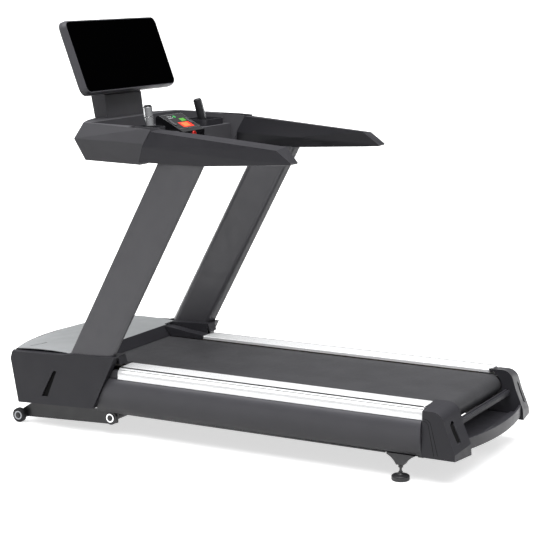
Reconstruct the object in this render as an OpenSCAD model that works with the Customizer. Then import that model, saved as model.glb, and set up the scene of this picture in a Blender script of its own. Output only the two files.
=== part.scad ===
// Commercial treadmill with powered incline, screen console and long handrails.
// Frame: +X is the runner's right, +Y is forwards, +Z is up. All sizes in mm.
// Positions along Y are written from the rear end of the foot rails, and placed()
// moves the whole machine so that its origin is under the middle of its length.

/* [Overall] */
// Height of the foot rails' top face above the floor
rail_top_z = 320; // [316:1:324]
// Length of each foot rail
rail_len = 1440; // [1400:1:1460]
// Furthest point of the front nose, ahead of the rear end of the rails
nose_y = 2105; // [2095:1:2115]
// Furthest point of the rear guard, behind the rear end of the rails
guard_y = 185; // [178:1:192]

/* [Running deck] */
// Width of the running belt
belt_w = 600; // [560:1:600]
// Thickness of the running belt
belt_t = 2.6; // [2:0.1:3]
// Outer radius of both rollers
roller_r = 44; // [40:0.5:45]
// Thickness of the deck board
board_t = 25; // [19:1:25]

/* [Foot rails and skirts] */
// Half the distance between the inner edges of the rails
rail_in_x = 309; // [306:1:312]
// Half the distance between the outer edges of the rails' top band
rail_band_x = 405; // [400:1:408]
// Half the distance between the rails' outer walls
rail_out_x = 428; // [426:1:430]

/* [Uprights] */
// Lean of each upright from vertical, in degrees
lean = 28.03; // [27:0.1:29]
// Width of an upright's outer face, square to its length
upright_w = 208; // [200:1:210]
// Width of an upright's inner face, square to its length
upright_in_w = 158; // [150:1:180]
// Half the distance between the uprights' outer faces
upright_out_x = 448; // [445:1:448]
// Thickness of an upright
upright_t = 51; // [44:1:52]

/* [Console] */
// Half the width over the handrails
arm_out_x = 456; // [452:1:456]
// Height of the console's top rim
console_top_z = 1378; // [1374:1:1380]
// Width of the screen's glass
glass_w = 720; // [640:1:720]
// Height of the screen's glass
glass_h = 319; // [280:1:319]
// Lean of the screen from vertical, in degrees
screen_lean = 21.1; // [20:0.1:22]

/* [Incline] */
// Length of the lever that the incline screw pushes
horn_len = 90; // [88:1:92]
// Radius of the front wheels
wheel_r = 33; // [31:0.5:34]

/* [Hidden] */
eps = 0.01;
// Middle of the length, taken from the rear end of the rails
centre_y = (nose_y - guard_y) / 2;
// Gap between parts that move past each other or are separate castings
gap = 0.4;

module placed() { translate([0, -centre_y, 0]) children(); }
module left() { mirror([1, 0, 0]) children(); }
// A cylinder along X, from x = x1 to x = x2, centred on (y, z)
module rod_x(x1, x2, y, z, r) {
    translate([x1, y, z]) rotate([0, 90, 0]) cylinder(h = x2 - x1, r = r, $fn = 96);
}
// A side outline given as [y, z] points, extruded from x = x1 to x = x2
module side_plate(x1, x2, pts) {
    translate([x1, 0, 0]) rotate([90, 0, 90]) linear_extrude(x2 - x1) polygon(pts);
}
// A block given by its lowest and highest corner
module block(lo, hi) { translate(lo) cube(hi - lo); }
// A rectangular tube along Y with its wall t
module tube_y(lo, hi, t) {
    difference() {
        block(lo, hi);
        block([lo[0] + t, lo[1] - 1, lo[2] + t], [hi[0] - t, hi[1] + 1, hi[2] - t]);
    }
}
// A rectangular tube along X with its wall t
module tube_x(lo, hi, t) {
    difference() {
        block(lo, hi);
        block([lo[0] - 1, lo[1] + t, lo[2] + t], [hi[0] + 1, hi[1] - t, hi[2] - t]);
    }
}
// A cubic curve through a and d, pulled towards b and c
function curve(a, b, c, d, t) =
    pow(1 - t, 3) * a + 3 * pow(1 - t, 2) * t * b + 3 * (1 - t) * t * t * c + pow(t, 3) * d;
function curve_points(a, b, c, d, n) = [for (i = [0:n]) curve(a, b, c, d, i / n)];
function reversed(list) = [for (i = [len(list) - 1:-1:0]) list[i]];
// A rectangle w by h with round corners, centred
module round_rect(w, h, r) {
    union() {
        square([w - 2 * r, h], center = true);
        square([w, h - 2 * r], center = true);
        for (sx = [-1, 1], sy = [-1, 1])
            translate([sx * (w / 2 - r), sy * (h / 2 - r)]) circle(r, $fn = 64);
    }
}

// ---- Running deck -------------------------------------------------------
frame_in_x = 355;
frame_out_x = 395;
frame_lo_z = 195;
frame_hi_z = rail_top_z - 45;
frame_rear_y = -70;
frame_front_y = 1960;
frame_wall = 3;
belt_top_z = rail_top_z - 17;
roller_z = belt_top_z - belt_t - gap - roller_r;
rear_roller_y = -10;
front_roller_y = 1690;
axle_r = 10;
bore_r = axle_r + 0.05;
drum_x = belt_w / 2 + 5;
board_hi_z = belt_top_z - belt_t - gap;
board_lo_z = board_hi_z - board_t;
cross_hi_z = board_lo_z - 13;
cross_h = 40;
cross_ys = [70, 406, 742, 1078, 1320, 1560];
// Member under the frame tubes, below the belt's return run
low_cross_y = 1085;
cushion_x = 290;

module frame_tube() {
    color("dimgray") difference() {
        tube_y([frame_in_x, frame_rear_y, frame_lo_z], [frame_out_x, frame_front_y, frame_hi_z],
            frame_wall);
        for (y = [rear_roller_y, front_roller_y])
            rod_x(frame_in_x - 1, frame_out_x + 1, y, roller_z, axle_r + 0.2);
    }
}
module frame_tubes() {
    placed() {
        frame_tube();
        left() frame_tube();
    }
}

module frame_cross_members() {
    placed() color("dimgray") {
        for (y = cross_ys)
            tube_x([-frame_in_x, y, cross_hi_z - cross_h], [frame_in_x, y + cross_h, cross_hi_z],
                2.5);
        tube_x([-frame_in_x, frame_front_y - 34, frame_lo_z + 4],
            [frame_in_x, frame_front_y - 2, frame_lo_z + 44], 2.5);
        tube_x([-frame_out_x, low_cross_y, frame_lo_z - 40],
            [frame_out_x, low_cross_y + 30, frame_lo_z], 2.5);
    }
}
module deck_board() {
    placed() color("#2b2620") block([-345, 60, board_lo_z], [345, 1600, board_hi_z]);
}
module deck_cushions() {
    placed() color("#222222") for (y = cross_ys, s = [-1, 1])
        translate([s * cushion_x, y + cross_h / 2, cross_hi_z + 0.1])
            cylinder(h = board_lo_z - cross_hi_z - 0.2, r = 18, $fn = 48);
}
// A round-ended loop of the running belt's side outline, r outside the roller centres
module belt_loop(r) {
    union() {
        translate([rear_roller_y, roller_z]) circle(r, $fn = 128);
        translate([front_roller_y, roller_z]) circle(r, $fn = 128);
        translate([rear_roller_y, roller_z - r]) square([front_roller_y - rear_roller_y, 2 * r]);
    }
}
module running_belt() {
    placed() color("#3c3c40") translate([-belt_w / 2, 0, 0]) rotate([90, 0, 90])
        linear_extrude(belt_w) difference() {
            belt_loop(roller_r + gap + belt_t);
            belt_loop(roller_r + gap);
        }
}
// A hollow roller drum with an end disc each side that holds a bearing
drum_wall = 4;
disc_t = 16;
bearing_r = 20;
module drum(y) {
    difference() {
        rod_x(-drum_x, drum_x, y, roller_z, roller_r);
        rod_x(-drum_x + disc_t, drum_x - disc_t, y, roller_z, roller_r - drum_wall);
        rod_x(-drum_x - 1, drum_x + 1, y, roller_z, bearing_r + 0.05);
    }
}
module front_roller() { placed() color("silver") drum(front_roller_y); }
module rear_roller() { placed() color("silver") drum(rear_roller_y); }
module bearing_pair(y) {
    for (s = [-1, 1]) {
        x = s * (drum_x - disc_t / 2);
        difference() {
            rod_x(x - 7, x + 7, y, roller_z, bearing_r);
            rod_x(x - 8, x + 8, y, roller_z, bore_r);
            for (e = [-1, 1])
                rod_x(x + e * 7 - 1, x + e * 7 + 1, y, roller_z, 17);
        }
        difference() {
            rod_x(x - 7, x + 7, y, roller_z, 13);
            rod_x(x - 8, x + 8, y, roller_z, bore_r);
        }
    }
}
module roller_bearings_front() { placed() color("lightgray") bearing_pair(front_roller_y); }
module roller_bearings_rear() { placed() color("lightgray") bearing_pair(rear_roller_y); }
module roller_axles() {
    placed() color("gray") for (y = [rear_roller_y, front_roller_y])
        rod_x(-frame_out_x - 4, frame_out_x + 4, y, roller_z, axle_r);
}
module belt_tension_bolts() {
    placed() color("silver") for (s = [-1, 1]) translate([s * 375, 0, roller_z]) rotate([90, 0, 0]) {
        translate([0, 0, 22]) cylinder(h = 66, r = 4, $fn = 32);
        translate([0, 0, 88]) cylinder(h = 7, r = 8, $fn = 6);
    }
}

// ---- Drive --------------------------------------------------------------
drive_r = 65;
pulley_r = 26;
pulley_x1 = -348;
pulley_x2 = -318;
motor_y = 1868;
motor_z = 268;
motor_r = 60;
motor_x1 = -300;
motor_x2 = -70;
shaft_r = 9;
groove_n = 6;
groove_d = 3;
// A grooved pulley along X with outer radius r and a centre hole
module grooved(y, z, r, hole) {
    w = pulley_x2 - pulley_x1;
    pitch = (w - 6) / groove_n;
    outline = concat([[hole, 0], [r, 0], [r, 3]],
        [for (i = [0:groove_n - 1], k = [0, 1])
            k == 0 ? [r - groove_d, 3 + (i + 0.5) * pitch] : [r, 3 + (i + 1) * pitch]],
        [[r, w], [hole, w]]);
    translate([pulley_x1, y, z]) rotate([0, 90, 0]) rotate_extrude($fn = 96) polygon(outline);
}
module drive_pulley() {
    placed() color("#55555a") {
        difference() {
            grooved(front_roller_y, roller_z, drive_r, 14);
            for (a = [0:60:300])
                rod_x(pulley_x1 - 1, pulley_x2 + 1, front_roller_y + 40 * cos(a),
                    roller_z + 40 * sin(a), 12);
        }
        difference() {
            rod_x(pulley_x2 - eps, -drum_x, front_roller_y, roller_z, 26);
            rod_x(pulley_x2 - 1, -drum_x + 1, front_roller_y, roller_z, 14);
        }
    }
}
module drive_motor() {
    placed() color("#26262a") difference() {
        union() {
            rod_x(motor_x1 + 14, motor_x2 - 14, motor_y, motor_z, motor_r);
            rod_x(motor_x1, motor_x1 + 14 - gap, motor_y, motor_z, motor_r - 4);
            rod_x(motor_x1 + 10, motor_x2 - 10, motor_y, motor_z, motor_r - 10);
            rod_x(motor_x2 - 14 + gap, motor_x2, motor_y, motor_z, motor_r - 4);
        }
        rod_x(motor_x1 - 1, motor_x2 + 1, motor_y, motor_z, shaft_r + 0.05);
        rod_x(motor_x1 + 20, motor_x2 - 20, motor_y, motor_z, motor_r - 14);
    }
}
module motor_rotor() {
    placed() color("silver") {
        difference() {
            union() {
                rod_x(pulley_x1 - 2, -30, motor_y, motor_z, shaft_r);
                rod_x(motor_x1 + 24, motor_x2 - 24, motor_y, motor_z, 34);
                rod_x(-62, -40, motor_y, motor_z, 56);
            }
            for (a = [0:45:315])
                rod_x(-63, -39, motor_y + 38 * cos(a), motor_z + 38 * sin(a), 8);
        }
        grooved(motor_y, motor_z, pulley_r, shaft_r - 1);
    }
}
// The outline of a belt round two pulleys, off from the pulley faces
module two_pulley_loop(off) {
    d = [motor_y - front_roller_y, motor_z - roller_z];
    a = atan2(d[1], d[0]);
    b = acos((drive_r - pulley_r) / norm(d));
    big = drive_r + off;
    small = pulley_r + off;
    union() {
        translate([front_roller_y, roller_z]) circle(big, $fn = 128);
        translate([motor_y, motor_z]) circle(small, $fn = 128);
        polygon([[front_roller_y + big * cos(a + b), roller_z + big * sin(a + b)],
            [front_roller_y + big * cos(a - b), roller_z + big * sin(a - b)],
            [motor_y + small * cos(a - b), motor_z + small * sin(a - b)],
            [motor_y + small * cos(a + b), motor_z + small * sin(a + b)]]);
    }
}
module drive_belt() {
    placed() color("#161618") translate([pulley_x1 + 3, 0, 0]) rotate([90, 0, 90])
        linear_extrude(pulley_x2 - pulley_x1 - 6) difference() {
            two_pulley_loop(4);
            two_pulley_loop(gap);
        }
}
pan_t = 3;
// The pan under the motor compartment, with the motor's cradle welded to it
module motor_pan() {
    placed() color("#3a3a3e") difference() {
        union() {
            block([-frame_out_x + 2, 1762, frame_lo_z - pan_t], [frame_out_x - 2, 1957, frame_lo_z]);
            block([-270, motor_y - 52, frame_lo_z - eps], [-100, motor_y + 52, motor_z - 30]);
        }
        rod_x(-271, -99, motor_y, motor_z, motor_r + 0.3);
        for (y = [1800:30:1920])
            block([-40, y, frame_lo_z - pan_t - 1], [60, y + 12, frame_lo_z + 1]);
    }
}
module motor_controller() {
    placed() color("#8d9093") difference() {
        union() {
            block([110, 1770, frame_lo_z + 0.2], [310, 1900, frame_lo_z + 12]);
            for (i = [0:15])
                block([114 + 12.6 * i, 1774, frame_lo_z + 11], [117 + 12.6 * i, 1896, frame_lo_z + 32]);
            block([150, 1790, frame_lo_z + 31], [280, 1880, frame_lo_z + 75]);
        }
        for (x = [130, 290], y = [1780, 1890])
            translate([x, y, frame_lo_z]) cylinder(h = 20, r = 2.5, $fn = 24);
    }
}

// ---- Incline ------------------------------------------------------------
pivot_y = 1500;
pivot_z = 80;
lift_angle = 34;
horn_angle = 90 + lift_angle / 2;
horn_y = pivot_y + horn_len * cos(horn_angle);
horn_z = pivot_z + horn_len * sin(horn_angle);
horn_pin_r = 6;
horn_x = 21;
horn_tip_r = 13;
horn_base = 14;
horn_side = [cos(horn_angle + 90), sin(horn_angle + 90)];
horn_outline = concat(
    [[pivot_y, pivot_z] + horn_base * horn_side, [pivot_y, pivot_z] - horn_base * horn_side],
    [for (a = [-90:18:90]) [horn_y, horn_z]
        + horn_tip_r * [cos(horn_angle + a), sin(horn_angle + a)]]);
arm_in_x = 372;
arm_plate_t = 8;
bracket_in_x = 384;
wheel_y = 1994;
wheel_x = 387;
wheel_w = 25;
wheel_bolt_r = 6;
pin_r = 10;

module lift_pivot_bracket() {
    outline = [[pivot_y - 60, frame_lo_z], [pivot_y + 60, frame_lo_z], [pivot_y + 31, pivot_z],
        [pivot_y - 31, pivot_z]];
    difference() {
        union() {
            side_plate(bracket_in_x, bracket_in_x + 8, outline);
            rod_x(bracket_in_x, frame_out_x + 4, pivot_y, pivot_z, 31);
        }
        rod_x(bracket_in_x - 1, frame_out_x + 5, pivot_y, pivot_z, pin_r + 0.05);
    }
}
module frame_brackets() {
    placed() color("#1d1d20") for (s = [0, 1]) mirror([s, 0, 0]) {
        lift_pivot_bracket();
        foot_bracket();
    }
}
module lift_pivot_pins() {
    placed() color("#e8e8ea") for (s = [0, 1]) mirror([s, 0, 0]) difference() {
        union() {
            rod_x(arm_in_x - 12, frame_out_x + 5, pivot_y, pivot_z, pin_r);
            rod_x(frame_out_x + 4 + eps, frame_out_x + 9, pivot_y, pivot_z, 20);
        }
        rod_x(frame_out_x + 6, frame_out_x + 10, pivot_y, pivot_z, 13.5);
    }
}
module lift_frame() {
    outline = [[pivot_y - 24, 56], [pivot_y, 47], [1955, 26], [1985, 20], [2004, 30], [2006, 44],
        [1985, 62], [1930, 98], [pivot_y + 40, 108], [pivot_y, 110], [pivot_y - 24, 100]];
    placed() color("#1d1d20") difference() {
        union() {
            for (s = [0, 1]) mirror([s, 0, 0])
                side_plate(arm_in_x, arm_in_x + arm_plate_t, outline);
            rod_x(-arm_in_x - 1, arm_in_x + 1, pivot_y, pivot_z, 18);
            tube_x([-arm_in_x - 1, 1900, 48], [arm_in_x + 1, 1940, 88], 3);
            for (x = [-horn_x, horn_x]) side_plate(x - 4, x + 4, horn_outline);
            rod_x(-horn_x - 7, horn_x + 7, horn_y, horn_z, horn_pin_r);
        }
        for (s = [0, 1]) mirror([s, 0, 0]) {
            rod_x(arm_in_x - 14, arm_in_x + 20, pivot_y, pivot_z, pin_r + 0.05);
            rod_x(arm_in_x - 1, arm_in_x + 20, wheel_y, wheel_r, wheel_bolt_r);
        }
        translate([0, 1920, 40]) cylinder(h = 14, r = 5, $fn = 32);
    }
}
module lift_wheel_axles() {
    placed() color("silver") for (s = [0, 1]) mirror([s, 0, 0]) {
        rod_x(arm_in_x, wheel_x + wheel_w + 1, wheel_y, wheel_r, wheel_bolt_r - 0.05);
        rod_x(wheel_x + wheel_w + 1 - eps, wheel_x + wheel_w + 5, wheel_y, wheel_r, 10);
        rod_x(arm_in_x + arm_plate_t + gap, wheel_x - gap, wheel_y, wheel_r, 11);
    }
}
module front_wheel_right() {
    tread = wheel_r - 5;
    placed() color("#1a1a1c") translate([wheel_x, wheel_y, wheel_r]) rotate([0, 90, 0])
        rotate_extrude($fn = 96) polygon([[wheel_bolt_r + 0.05, 0], [tread, 0], [wheel_r, 5],
            [wheel_r, wheel_w - 5], [tread, wheel_w], [22, wheel_w], [19, wheel_w - 4],
            [13, wheel_w - 4], [12, wheel_w], [wheel_bolt_r + 0.05, wheel_w]]);
}
module front_wheel_left() { left() front_wheel_right(); }

// The incline motor pushes a screw whose slotted end block holds the lift frame's pin
screw_r = 11;
slot_half = 7;
screw_tube_y1 = 1160;
screw_tube_y2 = 1385;
module cyl_y(x, z, y1, y2, r) {
    translate([x, y1, z]) rotate([-90, 0, 0]) cylinder(h = y2 - y1, r = r, $fn = 64);
}
module incline_motor() {
    placed() color("#4a4a4e") difference() {
        union() {
            cyl_y(0, horn_z, screw_tube_y1, screw_tube_y2, 20);
            cyl_y(0, horn_z, screw_tube_y1, screw_tube_y1 + 60, 27);
            block([-20, screw_tube_y1 + 5, horn_z - 26], [90, screw_tube_y1 + 55, horn_z + 22]);
            cyl_y(66, horn_z - 2, screw_tube_y1 + 54, screw_tube_y1 + 170, 26);
            block([-22, low_cross_y + 30.2, horn_z - 10], [22, screw_tube_y1 + 1, horn_z + 14]);
        }
        cyl_y(0, horn_z, screw_tube_y1 + 64, screw_tube_y2 + 1, screw_r + 0.05);
    }
}
module incline_screw() {
    placed() color("silver") difference() {
        union() {
            cyl_y(0, horn_z, screw_tube_y1 + 70, horn_y - 14, screw_r);
            block([-15, horn_y - 18, horn_z - 22], [15, horn_y + 13, horn_z + 22]);
        }
        for (dz = [-slot_half, slot_half])
            rod_x(-16, 16, horn_y, horn_z + 2 + dz, horn_pin_r + 0.6);
        block([-16, horn_y - horn_pin_r - 0.6, horn_z + 2 - slot_half],
            [16, horn_y + horn_pin_r + 0.6, horn_z + 2 + slot_half]);
    }
}

// ---- Foot rails, skirts and rear end ------------------------------------
rail_bot_z = rail_top_z - 52;
rail_web = 4;
module rail_outline() {
    polygon([[rail_in_x, rail_top_z - 14], [rail_in_x, rail_top_z - 2],
        [rail_in_x + 2, rail_top_z], [rail_band_x - 2, rail_top_z],
        [rail_band_x, rail_top_z - 2], [rail_band_x, rail_top_z - 6],
        [rail_band_x + 4, rail_top_z - 6], [rail_band_x + 4, rail_top_z - 4],
        [rail_band_x + 9, rail_top_z - 7], [rail_band_x + 9, rail_top_z - 12],
        [rail_band_x + 13, rail_top_z - 12], [rail_band_x + 16, rail_top_z - 13],
        [rail_out_x - 2, rail_top_z - 20], [rail_out_x, rail_top_z - 30],
        [rail_out_x - 1, rail_bot_z], [rail_out_x - rail_web - 1, rail_bot_z],
        [rail_out_x - rail_web, rail_top_z - 28], [rail_band_x + 12, rail_top_z - 17],
        [rail_band_x, rail_top_z - 11], [rail_band_x - 4, rail_top_z - rail_web],
        [frame_out_x, rail_top_z - rail_web], [frame_out_x, frame_hi_z + 0.2],
        [frame_in_x, frame_hi_z + 0.2], [frame_in_x, rail_top_z - rail_web],
        [rail_in_x + 3, rail_top_z - rail_web], [rail_in_x + 3, rail_top_z - 14]]);
}
module foot_rail() {
    difference() {
        translate([0, rail_len, 0]) rotate([90, 0, 0]) linear_extrude(rail_len) rail_outline();
        block([frame_in_x + rail_web, -1, frame_hi_z + rail_web],
            [frame_out_x - rail_web, rail_len + 1, rail_top_z - rail_web]);
    }
}
module foot_rail_right() { placed() color("#eceff1") foot_rail(); }
module foot_rail_left() { left() foot_rail_right(); }
module rail_front_blocks() {
    x1 = frame_out_x + 5;
    placed() color("#58585c") for (s = [0, 1]) mirror([s, 0, 0]) intersection() {
        translate([0, 1520, 0]) rotate([90, 0, 0]) linear_extrude(1520 - rail_len - 0.5)
            polygon([[x1, rail_top_z - 14], [rail_band_x + 11, rail_top_z - 14],
                [rail_out_x - 3, rail_top_z - 22], [rail_out_x - 3, rail_bot_z + 1],
                [x1, rail_bot_z + 1]]);
        behind_cover(0.6);
    }
}
// Everything behind the side cover's slanted rear edge, clear of it
module behind_cover(clear) {
    side_plate(300, 470, [[-10, 90], [cover_edge_y(90) - clear, 90],
        [cover_edge_y(330) - clear, 330], [-10, 330]]);
}
skirt_lo_z = 106;
skirt_t = 3;
skirt_front_y = 1562;
module side_skirt() {
    top = rail_bot_z - 0.5;
    outer = curve_points([424, top], [452, top - 12], [454, 150], [404, skirt_lo_z], 24);
    inner = curve_points([424 - skirt_t, top - skirt_t], [452 - skirt_t, top - 14],
        [454 - skirt_t - 1, 152], [404 - skirt_t, skirt_lo_z + skirt_t], 24);
    outline = concat([[frame_out_x + 1, top]], outer, reversed(inner),
        [[frame_out_x + 1, top - skirt_t]]);
    difference() {
        intersection() {
            translate([0, skirt_front_y, 0]) rotate([90, 0, 0]) linear_extrude(skirt_front_y - 2)
                polygon(outline);
            behind_cover(0.6);
        }
        block([380, foot_y - 78, skirt_lo_z - 4], [424, foot_y + 66, skirt_lo_z + 12]);
    }
    // Wall across the skirt's rear end
    translate([0, 2 + skirt_t, 0]) rotate([90, 0, 0]) linear_extrude(skirt_t)
        polygon(concat([[frame_out_x + 1, top]], outer, [[frame_out_x + 1, skirt_lo_z]]));
}
module side_skirt_right() { placed() color("#55555a") side_skirt(); }
module side_skirt_left() { left() side_skirt_right(); }

cap_in_x = 302;
cap_out_x = 430;
cap_t = 4;
cap_top_z = rail_top_z + 6;
cap_lo_z = 116;
// Fall of the cap's top towards the outside, and how far its rear face turns forwards there
cap_fall = 8.5;
cap_turn = 8;
// Side outline of a rear end cap at its inner wall, drawn in by off
function cap_side(off) = concat([[60, 60], [60, cap_top_z - off], [-48, cap_top_z - off]],
    curve_points([-62, cap_top_z - off], [-86 + off / 2, cap_top_z - 2 - off],
        [-104 + off, cap_top_z - 16 - off], [-111 + off, cap_top_z - 40], 8),
    [[-126 + off, 240], [-145 + off, 195], [-159 + off, 160], [-167 + off, 60]]);
// The cap's own frame: level at its inner wall, and turned and tipped from there outwards
module on_cap() {
    translate([cap_in_x, 0, cap_top_z]) rotate([0, cap_fall, cap_turn])
        translate([-cap_in_x, 0, -cap_top_z]) children();
}
module cap_solid(off) {
    intersection() {
        on_cap() side_plate(cap_in_x - 60, cap_out_x + 60, cap_side(off));
        block([cap_in_x + off, -200, cap_lo_z + off], [cap_out_x - off, -0.5, 400]);
    }
}
module rear_cap_right() {
    placed() color("#4a4a4e") difference() {
        cap_solid(0);
        difference() {
            cap_solid(cap_t);
            on_cap() side_plate(354, 396, [[-200, 280], [-109, 280], [-119, 240], [-138, 195],
                [-146, 176], [-200, 176]]);
        }
        on_cap() side_plate(362, 388, [[-200, 268], [-114.5, 268], [-122.5, 240], [-141.5, 195],
            [-145, 186], [-200, 186]]);
        rod_x(cap_in_x - 1, cap_in_x + 8, rear_roller_y, roller_z, roller_r + gap + belt_t + 4);
        block([cap_in_x - 1, -30, roller_z - 60], [cap_in_x + 8, 1, roller_z + 60]);
        translate([375, -200, roller_z]) rotate([-90, 0, 0]) cylinder(h = 120, r = 10, $fn = 48);
    }
}
module rear_cap_left() { left() rear_cap_right(); }

guard_half = 301;
guard_sag = 34;
guard_r = (guard_half * guard_half + guard_sag * guard_sag) / (2 * guard_sag);
module bowed_band(depth) {
    intersection() {
        difference() {
            translate([0, guard_r - guard_y]) circle(guard_r, $fn = 360);
            translate([0, guard_r - guard_y + depth]) circle(guard_r, $fn = 360);
        }
        translate([-guard_half, -guard_y - 1]) square([2 * guard_half, 80]);
    }
}
module rear_guard() {
    placed() color("#303034") {
        translate([0, 0, 150]) linear_extrude(32) bowed_band(9);
        translate([0, 0, 136]) linear_extrude(14 + eps) bowed_band(60);
        block([-guard_half, -110, 136], [guard_half, 20, 140]);
    }
}

// Ribbed bar between the two rear caps, close behind the roller
bar_outline = [[-100, 236], [-97, 243], [-92, 243], [-89, 237], [-87, 237], [-84, 244],
    [-79, 244], [-76, 237], [-76, 222], [-80, 218], [-96, 218], [-100, 222]];
module roller_guard_bar() {
    placed() color("#3a3a3e") side_plate(-guard_half, guard_half, bar_outline);
}

foot_x = 399;
foot_y = 102;
foot_rod_r = 5;
module foot_bracket() {
    difference() {
        union() {
            side_plate(384, 413, [[foot_y + 58, 112], [foot_y - 70, 112], [foot_y - 46, 98],
                [foot_y - 28, 82], [foot_y - 17, 66], [foot_y + 15, 66], [foot_y + 24, 80],
                [foot_y + 38, 94], [foot_y + 58, 106]]);
            block([362, foot_y - 34, 112 - eps], [398, foot_y + 34, frame_lo_z]);
        }
        translate([foot_x, foot_y, 60]) cylinder(h = 100, r = foot_rod_r + 0.06, $fn = 48);
        block([374, foot_y - 28, 122], [413, foot_y + 28, 186]);
    }
}
module leveling_foot_right() {
    placed() color("#202022") translate([foot_x, foot_y, 0]) {
        rotate_extrude($fn = 96) polygon([[0, 0], [34, 0], [36.5, 2], [37.5, 6], [37.5, 16],
            [36, 20], [32, 23], [16, 25], [11, 30], [0, 30]]);
        translate([0, 0, 30 - eps]) cylinder(h = 8, r = 9, $fn = 6);
        cylinder(h = 150, r = foot_rod_r, $fn = 48);
    }
}
module leveling_foot_left() { left() leveling_foot_right(); }
module foot_lock_nuts() {
    placed() color("silver") for (s = [-1, 1]) translate([s * foot_x, foot_y, 53]) difference() {
        cylinder(h = 9.8, r = 10, $fn = 6);
        translate([0, 0, -1]) cylinder(h = 12, r = foot_rod_r + 0.06, $fn = 48);
    }
}

// ---- Motor compartment --------------------------------------------------
hood_r = 1000;
hood_front_y = 2078;
hood_rear_y = 1655;
hood_rear_z = 352;
hood_front_z = 338;
hood_t = 3;
cover_x = 456;
hood_x = 418;
// The cover's slanted rear edge runs up from here to cover_back_y at its top
cover_rear_y = 1555;
cover_rear_z = 128;
cover_top_z = 371;
cover_back_y = 1436;
cover_slant = (cover_rear_y - cover_back_y) / (cover_top_z - cover_rear_z);
function cover_edge_y(z) = cover_rear_y - (z - cover_rear_z) * cover_slant;
nose_z = 309;
floor_z = 110;
// Y of the bowed front edge at x, for an outline whose middle is at y0
function bow_y(x, y0) = y0 - (hood_r - sqrt(hood_r * hood_r - x * x));
function bow_points(x1, x2, y0, n) = [for (i = [0:n]) let (x = x1 + (x2 - x1) * i / n) [x, bow_y(x, y0)]];
// Everything behind a bowed front line, from z1 to z2
module behind_bow(y0, z1, z2, x = 460) {
    translate([0, 0, z1]) linear_extrude(z2 - z1)
        polygon(concat(bow_points(x, -x, y0, 32), [[-x, 1300], [x, 1300]]));
}
// The hood's top surface as a side outline, t thick
function hood_side(t) = concat(
    curve_points([hood_rear_y, hood_rear_z], [1800, 366], [1960, 358], [2090, hood_front_z - 2], 12),
    [[2090, hood_front_z - 2 - t]],
    reversed(curve_points([hood_rear_y, hood_rear_z - t], [1800, 366 - t], [1960, 358 - t],
        [2090, hood_front_z - 2 - t], 12)));
module motor_hood() {
    placed() color("#b8bbba") difference() {
        intersection() {
            side_plate(-hood_x, hood_x, hood_side(hood_t));
            behind_bow(hood_front_y - 4, 300, 400);
        }
        for (s = [0, 1]) mirror([s, 0, 0]) upright_prism(1.5);
        for (s = [-1, 1]) translate([s * 330, 1930, 320]) rotate([0, 0, s * 20]) linear_extrude(60)
            square([90, 8], center = true);
    }
}
module hood_rear_trim() {
    y2 = hood_rear_y - gap;
    placed() color("#2a2a2d") side_plate(-303.4, 303.4, [[1622, belt_top_z + 2], [y2, hood_rear_z],
        [y2, hood_rear_z - 3.6], [1668, hood_rear_z - 3.6], [1668, hood_rear_z - 7.5],
        [y2, hood_rear_z - 7.5], [1628, belt_top_z + 2]]);
}
cover_outline = [[cover_rear_y, cover_rear_z], [cover_back_y, cover_top_z], [1656, 363], [1684, 359],
    [1714, 352], [1985, hood_front_z + 4], [2078, hood_front_z], [2110, nose_z], [2070, floor_z],
    [1970, floor_z]];
cover_inner = [[cover_rear_y + 8, cover_rear_z + 5], [cover_back_y + 9, 366], [1656, 358],
    [1682, 354], [1712, 347], [1985, hood_front_z - 1], [2074, hood_front_z - 5], [2100, nose_z],
    [2066, 100], [1970, 100]];
module side_cover_right() {
    slot = [[1745, 275], [1762, 275], [1829, 153], [1797, 153]];
    placed() color("#3a3a40") difference() {
        union() {
            difference() {
                intersection() {
                    side_plate(hood_x + gap, cover_x, cover_outline);
                    cover_bow(0);
                }
                intersection() {
                    side_plate(hood_x - 20, cover_x - 4, cover_inner);
                    cover_bow(4);
                }
            }
            difference() {
                side_plate(304, hood_x + gap + eps, [[1430, 332], [1442, 370], [1648, 361],
                    [1648, 357], [1446, 366], [1436, 332]]);
                side_plate(303, 360, [[1400, 300], [1400, 380], [1640, 380], [1640, 300]]);
            }
            side_plate(358, 362, [[1446, 322], [1446, 368], [1648, 361], [1654, 352], [1652, 340]]);
            side_plate(304, 308, [[1441, belt_top_z + 3], [1441, 324], [1520, 332], [1600, 344],
                [1652, hood_rear_z - 3], [1619, belt_top_z + 3]]);
            side_plate(cover_x - 12, cover_x - 3, [[1738, 283], [1768, 283], [1838, 145], [1789, 145]]);
            side_plate(307, 362, [[1441, 320], [1441, 324], [1520, 332], [1600, 344],
                [1652, hood_rear_z - 3], [1652, hood_rear_z - 7], [1600, 340], [1520, 328]]);
        }
        upright_prism(1.2);
        side_plate(cover_x - 9, cover_x + 1, slot);
    }
}
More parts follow.
